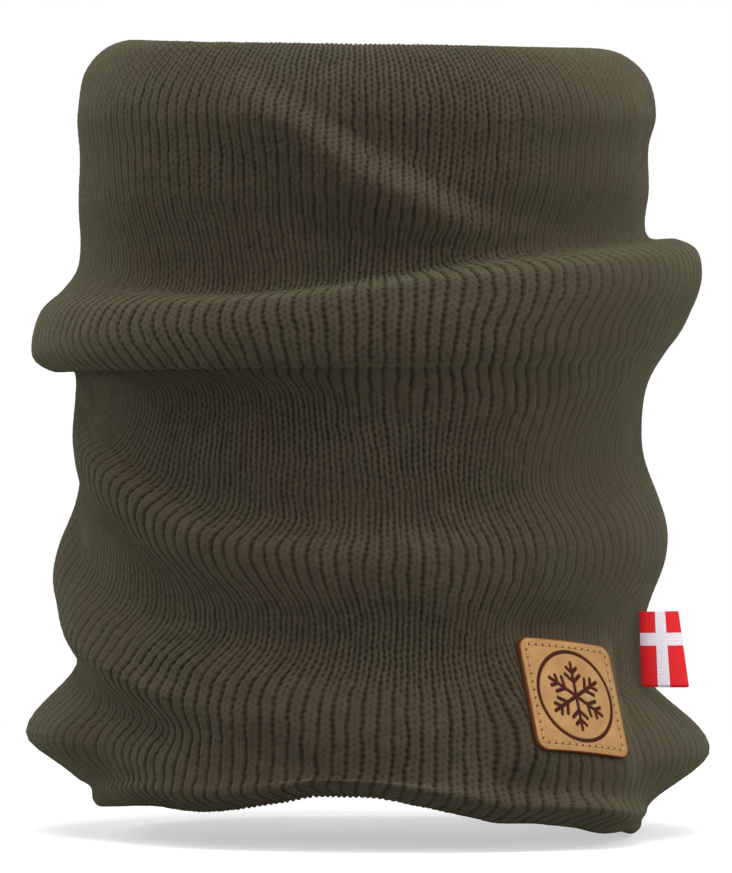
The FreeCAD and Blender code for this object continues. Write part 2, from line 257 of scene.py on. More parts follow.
def pchip(keys, values, x):
    """A smooth curve through the values at the keys, with no overshoot between them."""
    keys = np.asarray(keys, float)
    values = np.asarray(values, float)
    gap = np.diff(keys)
    slope = np.diff(values, axis=0) / gap.reshape(-1, *([1] * (values.ndim - 1)))
    before, after = slope[:-1], slope[1:]
    same = before * after > 0
    mean = np.where(same, 2 * before * after / np.where(same, before + after, 1), 0)
    tangent = np.concatenate([slope[:1], mean, slope[-1:]])
    x = np.clip(x, keys[0], keys[-1])
    index = np.clip(np.searchsorted(keys, x, side="right") - 1, 0, len(gap) - 1)
    width = gap[index]
    t = (x - keys[index]) / width
    if values.ndim > 1:
        t = t[..., None]
        width = width[..., None]
    return hermite(t, width, values[index], tangent[index], values[index + 1], tangent[index + 1])


def round_the_tube(keys, values, azimuth):
    """pchip on a closed ring of azimuths."""
    keys = np.asarray(keys, float)
    wide_keys = np.concatenate([keys - 360, keys, keys + 360])
    return pchip(wide_keys, np.concatenate([values, values, values]), azimuth)


def hem_line(azimuth):
    """The hem's height and reach at each azimuth."""
    table = np.array(HEM, float)
    return np.moveaxis(round_the_tube(table[:, 0], table[:, 1:], azimuth), -1, 0)


def fold_relief(folds, azimuth, height):
    """How far the folds stand out at each azimuth and height, both arrays of one shape."""
    relief = np.zeros_like(height)
    for fold in folds:
        table = np.array(fold, float)
        azimuths = table[:, 0]
        closed = azimuths[-1] - azimuths[0] > 300 and table[0, 2] > 0
        curve = round_the_tube if closed else pchip
        for turn in (0,) if closed else (-360, 0, 360):
            at = azimuth + turn
            line, reach, below, above = np.moveaxis(curve(azimuths, table[:, 1:], at), -1, 0)
            if not closed:
                ends = np.minimum(at - azimuths[0], azimuths[-1] - at) / 12
                reach = reach * np.clip(ends, 0, 1)
            offset = height - line
            part = np.clip(offset / np.where(offset > 0, above, below), -1, 1)
            relief += reach * 0.5 * (1 + np.cos(np.pi * part))
    return relief


def spline_columns(points, per_span):
    """Smooth curves through points[station, column, axis], one per column.

    Returns the curve points and, for each, the station number it lies at.
    """
    gap = np.sqrt(np.linalg.norm(np.diff(points, axis=0), axis=2)) + 1e-6
    knots = np.concatenate([np.zeros((1, gap.shape[1])), np.cumsum(gap, axis=0)])
    slope = np.diff(points, axis=0) / gap[..., None]
    inner = ((slope[:-1] * gap[1:, :, None] + slope[1:] * gap[:-1, :, None])
             / (gap[:-1] + gap[1:])[..., None])
    tangent = np.concatenate([slope[:1], inner, slope[-1:]])
    curve, station = [], []
    for span in range(len(points) - 1):
        for step in range(per_span):
            t = step / per_span
            width = (knots[span + 1] - knots[span])[:, None]
            curve.append(hermite(t, width, points[span], tangent[span],
                                 points[span + 1], tangent[span + 1]))
            station.append(span + t)
    curve.append(points[-1])
    station.append(len(points) - 1.0)
    return np.array(curve), np.array(station)


def smooth_noise(shape, cells):
    """Smooth random values from -1 to 1 on a rows by columns grid, closed round the columns."""
    rows, columns = shape
    row_cells, column_cells = cells
    grid = rng.uniform(-1, 1, (row_cells + 3, column_cells))
    row_at = np.linspace(0, row_cells, rows)
    column_at = np.arange(columns) / columns * column_cells
    row_index = np.floor(row_at).astype(int)
    column_index = np.floor(column_at).astype(int)
    row_t = smooth_step(row_at - row_index, 0, 1)[:, None]
    column_t = smooth_step(column_at - column_index, 0, 1)
    right = grid[:, (column_index + 1) % column_cells]
    across = grid[:, column_index] * (1 - column_t) + right * column_t
    return across[row_index] * (1 - row_t) + across[row_index + 1] * row_t


def large_shape():
    """The knit's smooth surface: reach and height on ROWS by MACRO_COLUMNS, hem first."""
    azimuth = np.arange(MACRO_COLUMNS) * 360 / MACRO_COLUMNS - 180
    hem, hem_reach = hem_line(azimuth)
    wander = 0.35 * np.sin(np.radians(azimuth * 5 + 40)) + 0.25 * np.sin(np.radians(azimuth * 9))
    hem_points = []
    for outwards, rise in HEM_TURN:
        reach = HEM_INSIDE + outwards * (hem_reach - HEM_INSIDE) + wander * outwards
        hem_points.append(np.stack([reach, hem + rise], axis=1))
    wall = [round_the_tube(STATION_AZIMUTHS, points, azimuth) for points in STATIONS.values()]
    points = np.array(hem_points + wall)
    curve, station = spline_columns(points, 14)
    station = station - len(hem_points)
    height = curve[..., 1]
    around = np.broadcast_to(azimuth, height.shape)
    lower = smooth_step(LOWER_STATIONS - station, 0, 1.2) * smooth_step(station, -2.2, -1.2)
    upper = (smooth_step(station - UPPER_STATIONS[0], 0, 0.7)
             * smooth_step(UPPER_STATIONS[1] - station, 0, 2.2))
    curve[..., 0] += (fold_relief(LOWER_FOLDS, around, height) * lower[:, None]
                      + fold_relief(UPPER_FOLDS, around, height) * upper[:, None])
    # equal steps of cloth from the hem's turned-up end to the end of the facing
    steps = np.linalg.norm(np.diff(curve, axis=0), axis=2)
    length = np.concatenate([np.zeros((1, MACRO_COLUMNS)), np.cumsum(steps, axis=0)])
    share = np.linspace(0, 1, ROWS)
    reach, height = np.empty((2, ROWS, MACRO_COLUMNS))
    for column in range(MACRO_COLUMNS):
        at = share * length[-1, column]
        reach[:, column] = np.interp(at, length[:, column], curve[:, column, 0])
        height[:, column] = np.interp(at, length[:, column], curve[:, column, 1])
    reach += 0.45 * smooth_noise(reach.shape, (16, 22))
    reach += 0.22 * smooth_noise(reach.shape, (34, 48))
    return reach, height, float(length[-1].mean())


REACH, HEIGHT, CLOTH_LENGTH = large_shape()


def shifted(values, columns):
    """values[row, column] read at fractional, wrapped column numbers."""
    low = np.floor(columns).astype(int)
    part = columns - low
    rows = np.arange(values.shape[0])[:, None]
    return (values[rows, low % MACRO_COLUMNS] * (1 - part)
            + values[rows, (low + 1) % MACRO_COLUMNS] * part)


def blurred_round(values, degrees):
    """Values smoothed along their columns, which go once round the tube."""
    columns = values.shape[1]
    falloff = np.exp(-0.5 * (np.arange(columns // 2 + 1) * math.radians(degrees)) ** 2)
    return np.fft.irfft(np.fft.rfft(values, axis=1) * falloff, n=columns, axis=1)


def knit_surface(columns):
    """The smooth knit on ROWS by columns, with the wales' drift, and how stretched it is."""
    azimuth = np.arange(columns) * 360 / columns - 180
    drift = 1.6 * smooth_noise((ROWS, columns), (9, 7))
    drift += 0.5 * smooth_noise((ROWS, columns), (26, 20))
    # the cloth spreads over the folds at the front and draws together in the hollows
    undrifted = np.broadcast_to(np.arange(columns) * MACRO_COLUMNS / columns, (ROWS, columns))
    reach, height = shifted(REACH, undrifted), shifted(HEIGHT, undrifted)
    spread = 9.0 * smooth_step(reach, 83.8, 89) - 4.5
    crest = round_the_tube(STATION_AZIMUTHS, STATIONS["crest"], azimuth)[:, 1]
    under = smooth_step(crest[None, :] - height, -3, 13) * smooth_step(reach, 86, 94)
    spread -= 6.0 * under * smooth_step(height, 118, 132)
    above = smooth_step(height, 170, 188)
    spread = spread * (1 - above) - 3.0 * above
    drift *= 1 - 0.5 * above
    drift += blurred_round(spread, 6) * np.sin(np.radians(azimuth - 6))[None, :]
    around = azimuth[None, :] + drift
    at = (around + 180) / 360 * MACRO_COLUMNS
    reach = shifted(REACH, at)
    points = ring(around, reach, shifted(HEIGHT, at))
    stretch = smooth_step(reach, 84, 89) * (1 - 0.6 * above)
    return points, stretch


def surface_normals(points):
    along = np.gradient(points, axis=0)
    across = np.roll(points, -1, axis=1) - np.roll(points, 1, axis=1)
    return unit(np.cross(across, along))


# ------ meshes

def ring_quads(index, closed_rows=False):
    """Quads over index[row, column], whose columns run in a ring."""
    ahead = np.roll(index, -1, axis=0)
    if not closed_rows:
        index, ahead = index[:-1], ahead[:-1]
    corners = [index, ahead, np.roll(ahead, -1, axis=1), np.roll(index, -1, axis=1)]
    return np.stack(corners, axis=-1).reshape(-1, 4)


def grid_mesh(name, points, attributes):
    """A skin over points[row, column], whose columns run in a ring."""
    rows, columns = points.shape[:2]
    quads = ring_quads(np.arange(rows * columns).reshape(rows, columns))[:, [0, 3, 2, 1]]
    return raw_mesh(name, points.reshape(-1, 3), quads, attributes)


def placed(name, data):
    """A new object in the scene."""
    thing = bpy.data.objects.new(name, data)
    bpy.context.scene.collection.objects.link(thing)
    return thing


def raw_mesh(name, vertices, quads, attributes=None):
    """A smooth mesh from vertices in millimetres, with named values for each vertex."""
    mesh = bpy.data.meshes.new(name)
    mesh.vertices.add(len(vertices))
    mesh.vertices.foreach_set("co", (np.asarray(vertices) * MM).astype(np.float32).ravel())
    mesh.loops.add(quads.size)
    mesh.loops.foreach_set("vertex_index", quads.astype(np.int32).ravel())
    mesh.polygons.add(len(quads))
    mesh.polygons.foreach_set("loop_start", (np.arange(len(quads)) * 4).astype(np.int32))
    mesh.polygons.foreach_set("use_smooth", np.ones(len(quads), bool))
    for key, values in (attributes or {}).items():
        layer = mesh.attributes.new(key, "FLOAT", "POINT")
        layer.data.foreach_set("value", np.asarray(values, np.float32).ravel())
    mesh.update(calc_edges=True)
    mesh.validate()
    return placed(name, mesh)


def panel_mesh(name, middle, edge_distance, thickness, attributes):
    """A thin closed panel over middle[row, column], rounded off at its cut edges."""
    count = middle.shape[0] * middle.shape[1]
    across = np.gradient(middle, axis=1)
    along = np.gradient(middle, axis=0)
    normals = unit(np.cross(across, along))
    part = 1 - np.clip(edge_distance / (thickness / 2), 0, 1)
    half = thickness / 2 * np.sqrt(np.clip(1 - part ** 2, 0, 1))[..., None]
    front = np.arange(count).reshape(middle.shape[:2])
    back = np.where(edge_distance <= 1e-9, front, front + count)
    faces = []
    for index, way in ((front, 1), (back, -1)):
        quads = np.stack([index[:-1, :-1], index[:-1, 1:], index[1:, 1:], index[1:, :-1]], axis=-1)
        faces.append(quads.reshape(-1, 4)[:, ::way])
    quads = np.concatenate(faces)
    vertices = np.concatenate([(middle + normals * half).reshape(-1, 3),
                               (middle - normals * half).reshape(-1, 3)])
    used, quads = np.unique(quads, return_inverse=True)
    values = {key: np.concatenate([value.ravel(), value.ravel()])[used]
              for key, value in attributes.items()}
    return raw_mesh(name, vertices[used], quads.reshape(-1, 4), values)


def twisted_thread(path, outward, radius, closed, twist=1.3):
    """A two-ply thread along a path: points[step, side]."""
    sides = 10
    if closed:
        tangent = unit(np.roll(path, -1, axis=0) - np.roll(path, 1, axis=0))
    else:
        tangent = unit(np.gradient(path, axis=0))
    sideways = unit(np.cross(tangent, outward))
    upwards = np.cross(sideways, tangent)
    steps = np.linalg.norm(np.diff(path, axis=0), axis=1)
    run = np.concatenate([[0], np.cumsum(steps)])
    turn = np.arange(sides) * 2 * np.pi / sides
    reach = radius * (0.88 + 0.12 * np.cos(2 * (turn[None, :] - run[:, None] * np.pi / twist)))
    if not closed:
        ends = np.clip(np.minimum(run, run[-1] - run) / radius, 0.02, 1)
        reach = reach * np.sqrt(1 - (1 - ends) ** 2)[:, None]
    return (path[:, None] + reach[..., None] * (np.cos(turn)[:, None] * sideways[:, None]
                                                + np.sin(turn)[:, None] * upwards[:, None]))


def threads_mesh(name, tubes, closed):
    """One mesh of several threads, each points[step, side]."""
    faces, first = [], 0
    for tube in tubes:
        steps, sides = tube.shape[:2]
        index = first + np.arange(steps * sides).reshape(steps, sides)
        faces.append(ring_quads(index, closed))
        first += steps * sides
    vertices = np.concatenate([tube.reshape(-1, 3) for tube in tubes])
    return raw_mesh(name, vertices, np.concatenate(faces))


# ------ materials

class Look:
    """The nodes of a material or world. A node's input takes a value or another's output."""

    def __init__(self, owner):
        owner.use_nodes = True
        self.owner = owner
        self.nodes = owner.node_tree.nodes

    def fill(self, node, inputs):
        for key, value in inputs.items():
            if isinstance(value, bpy.types.NodeSocket):
                self.owner.node_tree.links.new(value, node.inputs[key])
            elif isinstance(value, tuple):
                node.inputs[key].default_value = (*value, 1)
            else:
                node.inputs[key].default_value = value

    def add(self, kind, inputs=None, output=0, **settings):
        """A new node's output, by the name or number of the output."""
        node = self.nodes.new("ShaderNode" + kind)
        for key, value in settings.items():
            setattr(node, key, value)
        self.fill(node, inputs or {})
        return node.outputs[output]

    def surface(self, inputs):
        self.fill(self.nodes["Principled BSDF"], inputs)

    def place(self):
        return self.add("TexCoord", output="Object")

    def attribute(self, name):
        return self.add("Attribute", output="Fac", attribute_name=name)

    def noise(self, scale, detail=3, rough=0.5):
        return self.add("TexNoise", {"Vector": self.place(), "Scale": scale, "Detail": detail,
                                     "Roughness": rough}, "Fac")

    def cells(self, scale):
        return self.add("TexVoronoi", {"Vector": self.place(), "Scale": scale}, "Distance")

    def math(self, operation, *values):
        return self.add("Math", dict(enumerate(values)), operation=operation)

    def between(self, value, low, high):
        """A value from 0 to 1, moved to lie from low to high."""
        return self.add("MapRange", {"Value": value, "To Min": low, "To Max": high})

    def ramp(self, value, stops):
        colour = self.add("ValToRGB", {"Fac": value})
        elements = self.nodes[colour.node.name].color_ramp.elements
        while len(elements) < len(stops):
            elements.new(0.5)
        for element, (position, shade) in zip(elements, stops):
            element.position = position
            element.color = (*shade, 1)
        return colour

    def mix(self, factor, first, second, mode="MIX"):
        return self.add("Mix", {0: factor, 6: first, 7: second}, 2, data_type="RGBA",
                        blend_type=mode)

    def times(self, colour, *others):
        for other in others:
            colour = self.mix(1.0, colour, other, "MULTIPLY")
        return colour

    def mix_shaders(self, factor, first, second):
        return self.add("MixShader", {0: factor, 1: first, 2: second})

    def bump(self, height, strength, distance, under=None, invert=False):
        """Give the surface a bump, on top of the one under it."""
        inputs = {"Height": height, "Strength": strength, "Distance": distance}
        if under is not None:
            inputs["Normal"] = under
        normal = self.add("Bump", inputs, invert=invert)
        self.surface({"Normal": normal})
        return normal


def new_look(name):
    return Look(bpy.data.materials.new(name))


def knit_material():
    look = new_look("rib_knit")
    # painted shade: near black where the knit's grooves and gaps are shaded, the knit's own olive brown
    # on the stitch legs that stand up
    tone = look.ramp(look.attribute("painted_groove_shade"),
                     [(0.0, (0.0072, 0.0048, 0.0030)), (0.45, (0.033, 0.0252, 0.0162)),
                      (0.8, (0.065, 0.0508, 0.0338)), (1.0, (0.088, 0.070, 0.048))])
    hue = look.ramp(look.noise(26), [(0.35, (1.06, 0.98, 0.92)), (0.65, (1.0, 1.01, 0.92))])
    fibre = look.noise(2600, 4, 0.65)
    speck = look.ramp(fibre, [(0.3, (0.72, 0.72, 0.72)), (0.7, (1.25, 1.25, 1.22))])
    look.surface({"Base Color": look.times(tone, hue, speck),
                  "Roughness": look.between(fibre, 0.82, 1.0), "Specular IOR Level": 0.2,
                  "Sheen Weight": 0.26, "Sheen Roughness": 0.5, "Sheen Tint": (0.60, 0.62, 0.36)})
    look.bump(fibre, 0.5, 0.0004)
    return look.owner


def fleece_material():
    look = new_look("fleece")
    pile = look.noise(900, 5, 0.7)
    tone = look.ramp(pile, [(0.3, (0.020, 0.017, 0.013)), (0.7, (0.070, 0.062, 0.050))])
    tufts = look.cells(300)
    # painted shade: dark in the gaps between the tufts, lighter on their tops
    shade = look.ramp(tufts, [(0.1, (1.5, 1.5, 1.5)), (0.75, (0.42, 0.42, 0.42))])
    fade = look.ramp(look.noise(45), [(0.35, (0.78, 0.78, 0.80)), (0.65, (1.22, 1.20, 1.16))])
    look.surface({"Base Color": look.times(tone, shade, fade),
                  "Roughness": look.between(pile, 0.85, 1.0), "Specular IOR Level": 0.15,
                  "Sheen Weight": 0.22, "Sheen Roughness": 0.6})
    tuft_bump = look.bump(tufts, 0.8, 0.0012, invert=True)
    look.bump(pile, 0.7, 0.0008, tuft_bump)
    return look.owner


def leather_material():
    look = new_look("leather")
    blotch = look.noise(170, 4, 0.6)
    tan = look.ramp(blotch, [(0.3, (0.34, 0.178, 0.062)), (0.55, (0.405, 0.222, 0.083)),
                             (0.75, (0.45, 0.262, 0.106))])
    grain = look.cells(2300)
    pores = look.ramp(grain, [(0.0, (0.84, 0.82, 0.80)), (0.35, (1, 1, 1))])
    colour = look.times(tan, pores)
    # the hole colour is painted shade inside the stitch holes
    for mark, dark in (("rim", (0.15, 0.040, 0.013)), ("ink", (0.050, 0.0085, 0.005)),
                       ("hole", (0.030, 0.010, 0.005))):
        colour = look.mix(look.attribute(mark), colour, dark)
    burnt = look.math("MULTIPLY", look.attribute("ink"), 0.9)
    look.surface({"Base Color": colour, "Specular IOR Level": 0.18,
                  "Roughness": look.math("MAXIMUM", look.between(blotch, 0.48, 0.68), burnt)})
    pore_bump = look.bump(grain, 0.25, 0.0002)
    look.bump(blotch, 0.2, 0.0004, pore_bump)
    return look.owner


def thread_material(name, dark, light):
    look = new_look(name)
    fibre = look.noise(4200, 3, 0.6)
    look.surface({"Base Color": look.ramp(fibre, [(0.3, dark), (0.7, light)]),
                  "Roughness": look.between(fibre, 0.55, 0.85)})
    look.bump(fibre, 0.5, 0.0001)
    return look.owner


def woven_material(name, pitch, colour_of):
    """A woven ribbon's material: threads from its "across" and "along" values, in millimetres."""
    look = new_look(name)
    turn = 2 * math.pi / pitch
    weft = look.math("SINE", look.math("MULTIPLY", look.attribute("along"), turn))
    warp = look.math("SINE", look.math("MULTIPLY", look.attribute("across"), turn * 0.7))
    weave = look.math("ADD", look.math("MULTIPLY", weft, warp), look.math("MULTIPLY", weft, 0.8))
    level = look.add("MapRange", {"Value": weave, "From Min": -1.8, "From Max": 1.8})
    shade = look.ramp(level, [(0.0, (0.80, 0.80, 0.80)), (1.0, (1.12, 1.12, 1.12))])
    uneven = look.noise(1400, 3, 0.6)
    mottled = look.ramp(uneven, [(0.3, (0.90, 0.90, 0.90)), (0.7, (1.08, 1.08, 1.08))])
    look.surface({"Base Color": look.times(colour_of(look), shade, mottled),
                  "Roughness": look.between(uneven, 0.5, 0.75), "Specular IOR Level": 0.3,
                  "Sheen Weight": 0.05})
    look.bump(weave, 0.4, 0.00012)
    return look.owner


# ------ outer knit

def knit_relief(shape, stretch, tight, rise):
    """The stitches' height over the smooth cloth, in millimetres, and a 0 to 1 painted groove shade:
    highest on the stitch legs that stand up, lower where shade is painted into grooves, channels and
    gaps.

    Each wale is a column of stitches with two legs, a narrow channel between its legs and a
    groove beside it. Where the cloth is stretched over a fold the groove opens. The gaps
    between stitches open where the cloth faces up, rise above 0.
    """
    def noise(cells):
        return smooth_noise(shape, cells)

    rows, columns = shape
    wale = np.arange(columns)[None, :] / SAMPLES_PER_WALE
    wale = wale + 0.075 * noise((80, WALES)) + 0.08 * noise((34, 44))
    wale = wale + 0.05 * noise((230, WALES))
    course = np.arange(rows)[:, None] / rows * CLOTH_LENGTH / COURSE
    course = course + 0.24 * noise((60, WALES)) + 0.5 * noise((8, 12))
    phase = wale - np.floor(wale)
    from_groove = np.minimum(phase, 1 - phase)
    from_channel = np.abs(phase - 0.5)
    stretch = np.clip(stretch + 0.30 * noise((12, 16)), 0, 1)
    gaps = np.clip(0.62 + 1.3 * rise + 0.55 * noise((15, 20))
                   + 0.45 * noise((110, WALES)), 0.03, 1.25)
    uneven = 1 + 0.26 * noise((90, 2 * WALES))
    azimuth = (np.arange(columns) / columns * 360 - 180)[None, :]
    worn = smooth_step(azimuth, 20, 56) + smooth_step(azimuth, -36, -74)
    calm = (1 - 0.66 * worn * smooth_step(np.abs(azimuth), 160, 115)) * (1 - 0.12 * stretch)

    legs = np.abs(np.sin(2 * np.pi * phase)) ** 0.75
    pad = np.sin(np.pi * phase) ** 0.6
    profile = (1 - stretch) * 0.40 * legs + stretch * (0.44 * pad + 0.10 * legs)
    depth = 1 + 0.45 * noise((60, WALES))
    groove = (np.exp(-((from_groove / (0.09 + 0.08 * stretch)) ** 2)) * (0.27 + 0.05 * stretch)
              * depth)
    channel = np.exp(-((from_channel / 0.075) ** 2)) * (0.15 - 0.08 * stretch)
    beat = 0.5 + 0.5 * np.cos(2 * np.pi * course)
    off_beat = 1 - beat
    holes = (np.exp(-((from_channel / 0.10) ** 2)) * beat ** 2.5 * (0.46 - 0.20 * stretch) * gaps)
    dots = (np.exp(-((from_groove / 0.12) ** 2)) * off_beat ** 2.5 * 0.42 * gaps)
    slant = (from_channel - 0.25) * 1.5
    stitch = np.cos(2 * np.pi * (course + slant)) * np.exp(-(((from_channel - 0.25) / 0.15) ** 2))
    relief = (profile - groove - channel) * uneven - holes - dots + 0.085 * stitch
    relief = relief + 0.06 * noise((220, 320))
    relief = relief * calm * (1 - 0.75 * tight)
    # painted shade: the colour darkens in the grooves, channels, holes and dots, where shade falls
    # between the stitch legs
    painted_groove_shade = 0.52 + 0.90 * (profile - 0.22) - 0.70 * (groove + channel) - 0.90 * (holes + dots)
    painted_groove_shade = painted_groove_shade + 0.07 * stitch + 0.09 * noise((150, 2 * WALES))
    painted_groove_shade = 0.6 + (painted_groove_shade - 0.6) * calm
    return relief, np.clip(painted_groove_shade, 0, 1)


def make_outer_knit():
    columns = WALES * SAMPLES_PER_WALE
    points, stretch = knit_surface(columns)
    points, tight = press_under_patch(points)
    normals = surface_normals(points)
    height, painted_groove_shade = knit_relief((ROWS, columns), stretch, tight, normals[..., 2])
    points = points + normals * (height - 0.4)[..., None]
    knit = grid_mesh("outer_rib_knit", points, {"painted_groove_shade": painted_groove_shade})
    knit.data.materials.append(knit_material())
    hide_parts("outer_knit")
    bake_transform(knit)


def make_lining():
    """The fleece tube: inner face, both rims and outer face in one closed skin."""
    columns, face_rows = 540, 200
    azimuth = np.arange(columns) * 360 / columns - 180
    bottom = hem_line(azimuth)[0] + 6.5
    share = np.linspace(0, 1, face_rows)[:, None]
    inner_z = bottom[None, :] * (1 - share) + LINING_HIGH[2] * share
    pile = 0.28 * smooth_noise((face_rows, columns), (90, 200))
    drape = 0.35 + 0.35 * smooth_noise((face_rows, columns), (7, 9))
    inner_r = BORE + 0.25 + np.clip(drape, 0, None) + np.abs(pile)
    # the pile is pressed flat behind the care label; a degree is 1.34 mm there
    beside = np.maximum(np.abs(azimuth - CARE_MIDDLE) - CARE_SPAN / 2, 0) * 1.34
    above = np.maximum(CARE_LOW[2] - inner_z, inner_z - CARE_HIGH[2])
    dent = smooth_step(np.maximum(beside, above), 3.5, 0.5)
    inner_r = inner_r * (1 - dent) + dent * (CARE_REACH + 0.45)
    inner = ring(azimuth[None, :], inner_r, inner_z)
    outer = ring(azimuth[None, :], np.full_like(inner_r, LINING_HIGH[0]), inner_z)
    points = np.concatenate([inner, outer[::-1]])
    index = np.arange(2 * face_rows * columns).reshape(-1, columns)
    lining = raw_mesh("fleece_tube", points.reshape(-1, 3), ring_quads(index, True))
    lining.data.materials.append(fleece_material())
    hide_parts("fleece_lining")
    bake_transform(lining)


# ------ seams

def overlock_seam(name, node, height, material):
    """A zigzag row and an edge thread round the tube, between the knit and the fleece."""
    steps = SEAM_STITCHES * 10
    azimuth = np.arange(steps) * 360 / steps - 180
    swing = np.arange(steps) / 10 * 2 * np.pi
    centre = height(azimuth)
    path = ring(azimuth, SEAM_RADIUS + 0.30 * np.cos(2 * swing), centre + 1.1 * np.sin(swing))
    outward = ring(azimuth, np.ones(steps), np.zeros(steps))
    edge = ring(azimuth, SEAM_RADIUS + 0.15 * np.cos(swing * 2), centre + 1.25)
    tubes = [twisted_thread(path, outward, SEAM_THREAD, True),
             twisted_thread(edge, outward, SEAM_THREAD * 0.8, True)]
    seam = threads_mesh(name, tubes, True)
    seam.data.materials.append(material)
    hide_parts(node)
    return seam


def side_seam(name, node, material):
    """A chain-stitched row up the side, between the knit and the lining."""
    low, high = node_box(node)
    x, y, _ = (low + high) / 2
    azimuth = math.degrees(math.atan2(x, -y))
    reach = math.hypot(x, y)
    height = np.arange(low[2] + 1, high[2] - 1, 0.4)
    tubes = []
    for start in (0, math.pi):
        wave = height * 2 * math.pi / 3.2 + start
        around = azimuth + 0.28 * np.sin(wave)
        path = ring(around, reach + 0.15 * np.cos(wave), height)
        outward = ring(around, np.ones(len(height)), np.zeros(len(height)))
        tubes.append(twisted_thread(path, outward, 0.24, False))
    seam = threads_mesh(name, tubes, False)
    seam.data.materials.append(material)
    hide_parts(node)
    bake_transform(seam)


def make_seams():
    material = thread_material("seam_thread", (0.024, 0.020, 0.013), (0.060, 0.051, 0.035))
    middle = (SEAM_LOW[2] + SEAM_HIGH[2]) / 2
    top = overlock_seam("top_overlock", "top_edge_seam",
                        lambda azimuth: np.full(azimuth.shape, middle), material)
    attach(top, "top_edge")
    bottom = overlock_seam("hem_overlock", "bottom_edge_seam",
                           lambda azimuth: hem_line(azimuth)[0] + 6.2, material)
    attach(bottom, "gaiter")
    side_seam("outer_side_chain", "outer_side_seam", material)
    side_seam("lining_side_chain", "lining_side_seam", material)


# ------ leather patch

STITCH_INSET = 2.3
STITCHES = 48


def square_reach(angle, half, corner):
    """How far a rounded square's edge is from its middle at each angle."""
    wide, narrow = np.abs(np.cos(angle)), np.abs(np.sin(angle))
    flat = half / np.maximum(wide, narrow)
    inner = half - corner
    along = (wide + narrow) * inner
    bend = along + np.sqrt(np.maximum(along ** 2 - 2 * inner ** 2 + corner ** 2, 0))
    return np.where(flat * np.minimum(wide, narrow) > inner, bend, flat)


def stitch_line(share):
    """Points of the stitched line at each share of the way round it."""
    angle = np.linspace(0, 2 * np.pi, 1441) + 0.4
    reach = square_reach(angle, PATCH_SIDE / 2 - STITCH_INSET, PATCH_CORNER - STITCH_INSET)
    across, up = reach * np.cos(angle), reach * np.sin(angle)
    run = np.concatenate([[0], np.cumsum(np.hypot(np.diff(across), np.diff(up)))])
    at = (share % 1) * run[-1]
    return np.interp(at, run, across), np.interp(at, run, up)


def segment_distance(x, y, start, end):
    """How far each x, y is from the straight line between two points."""
    way = np.array(end) - np.array(start)
    t = np.clip(((x - start[0]) * way[0] + (y - start[1]) * way[1]) / (way @ way), 0, 1)
    return np.hypot(x - start[0] - t * way[0], y - start[1] - t * way[1])


def patch_mark(across, up):
    """The pressed mark, 1 inside its lines: a ring round a plain six-armed snowflake."""
    reach = np.hypot(across, up)
    turned = (np.arctan2(across, up) + np.pi / 6) % (np.pi / 3) - np.pi / 6
    out, beside = reach * np.cos(turned), np.abs(reach * np.sin(turned))
    distance = np.abs(reach - 13.9)
    for start, end in (((0, 0), (10.4, 0)), ((4.4, 0), (6.7, 2.7)), ((7.3, 0), (8.9, 1.9))):
        distance = np.minimum(distance, segment_distance(out, beside, start, end))
    return smooth_step(distance, 0.72, 0.46)


def lift_patch(across, up, height):
    """Points on the bent patch, at these heights over its back face."""
    return from_patch(np.stack([across, up, height - across ** 2 / (2 * PATCH_BEND)], axis=-1))


def make_patch():
    """Rings from the middle of the patch's face, over its cut edge, to its back."""
    angle = np.arange(640) * 2 * np.pi / 640
    edge = square_reach(angle, PATCH_SIDE / 2, PATCH_CORNER)[None, :]
    rounding = 0.45
    face_rings = 150
    turn = np.radians([20, 40, 60, 75, 90])[:, None]
    face = np.linspace(0, 1, face_rings)[:, None] * (edge - rounding)
    over = edge - rounding + rounding * np.sin(turn)
    back = np.array([0.98, 0.75, 0.5, 0.25, 0.0])[:, None] * edge
    reach = np.concatenate([face, over, edge, back])
    height = np.concatenate([np.full((face_rings, 1), PATCH_THICKNESS),
                             PATCH_THICKNESS - rounding + rounding * np.cos(turn),
                             [[0.3]], np.full((len(back), 1), 0.02)])
    on_top = np.arange(len(reach))[:, None] < face_rings
    across, up = reach * np.cos(angle), reach * np.sin(angle)
    ink = patch_mark(across, up) * on_top
    # painted shade: each stitch hole gets a dip and a near-black colour for the shade inside it
    hole = np.zeros_like(across)
    for x, y in zip(*stitch_line(np.arange(STITCHES) / STITCHES)):
        hole = np.maximum(hole, smooth_step(np.hypot(across - x, up - y), 0.44, 0.24))
    hole = hole * on_top
    inside = -beyond_patch(across, up)
    line = smooth_step(np.abs(STITCH_INSET - inside), 0.9, 0.2) * on_top
    top = (height - 0.32 * ink - 0.6 * hole - 0.14 * line
           - 0.22 * smooth_step(inside, 1.6, 0.4) * on_top)
    rim = np.where(on_top, 0.6 * smooth_step(inside, 0.62, 0.3), 1.0)
    patch = grid_mesh("leather_badge", lift_patch(across, up, top)[::-1],
                      {"ink": ink[::-1], "hole": hole[::-1], "rim": rim[::-1]})
    patch.data.materials.append(leather_material())
    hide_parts("leather_patch")
    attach(patch, "gaiter")


